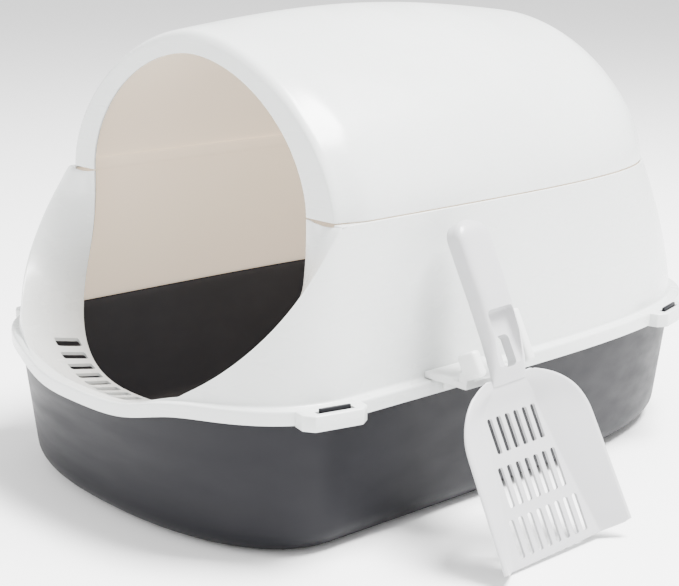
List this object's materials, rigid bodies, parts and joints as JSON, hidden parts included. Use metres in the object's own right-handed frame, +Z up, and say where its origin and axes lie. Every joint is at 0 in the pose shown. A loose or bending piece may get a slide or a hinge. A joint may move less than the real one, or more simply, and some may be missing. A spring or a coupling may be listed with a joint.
{
  "type": "cat litter box with hood",
  "caption": "Large hooded cat litter box: grey pan, white entry hood with slotted front ledge, lift-off dome, and a litter scoop on a side bracket.",
  "frame": {"origin": "centre of the pan's base, on the floor", "axes": "-Y towards the entrance, +X the side the scoop hangs on, +Z up"},
  "size_m": [0.5161, 0.6009, 0.3808],
  "materials": {
    "pan_grey": "satin dark grey",
    "hood_white": "glossy white"
  },
  "bodies": {
    "pan": {"litter_pan": "pan_grey"},
    "hood": {"entry_hood": "hood_white", "scoop_holder": "hood_white"},
    "lid": {"dome": "hood_white"},
    "shovel": {"scoop": "hood_white"}
  },
  "joints": [
    {"name": "hood_lift", "type": "slide", "parent": "pan", "child": "hood", "axis": [0, 0, 1], "range_m": [0, 0.15]},
    {"name": "dome_lift", "type": "slide", "parent": "hood", "child": "lid", "axis": [0, 0, 1], "range_m": [0, 0.15]},
    {"name": "scoop_pull", "type": "slide", "parent": "hood", "child": "shovel", "axis": [1, 0, 0], "range_m": [0, 0.06]}
  ]
}
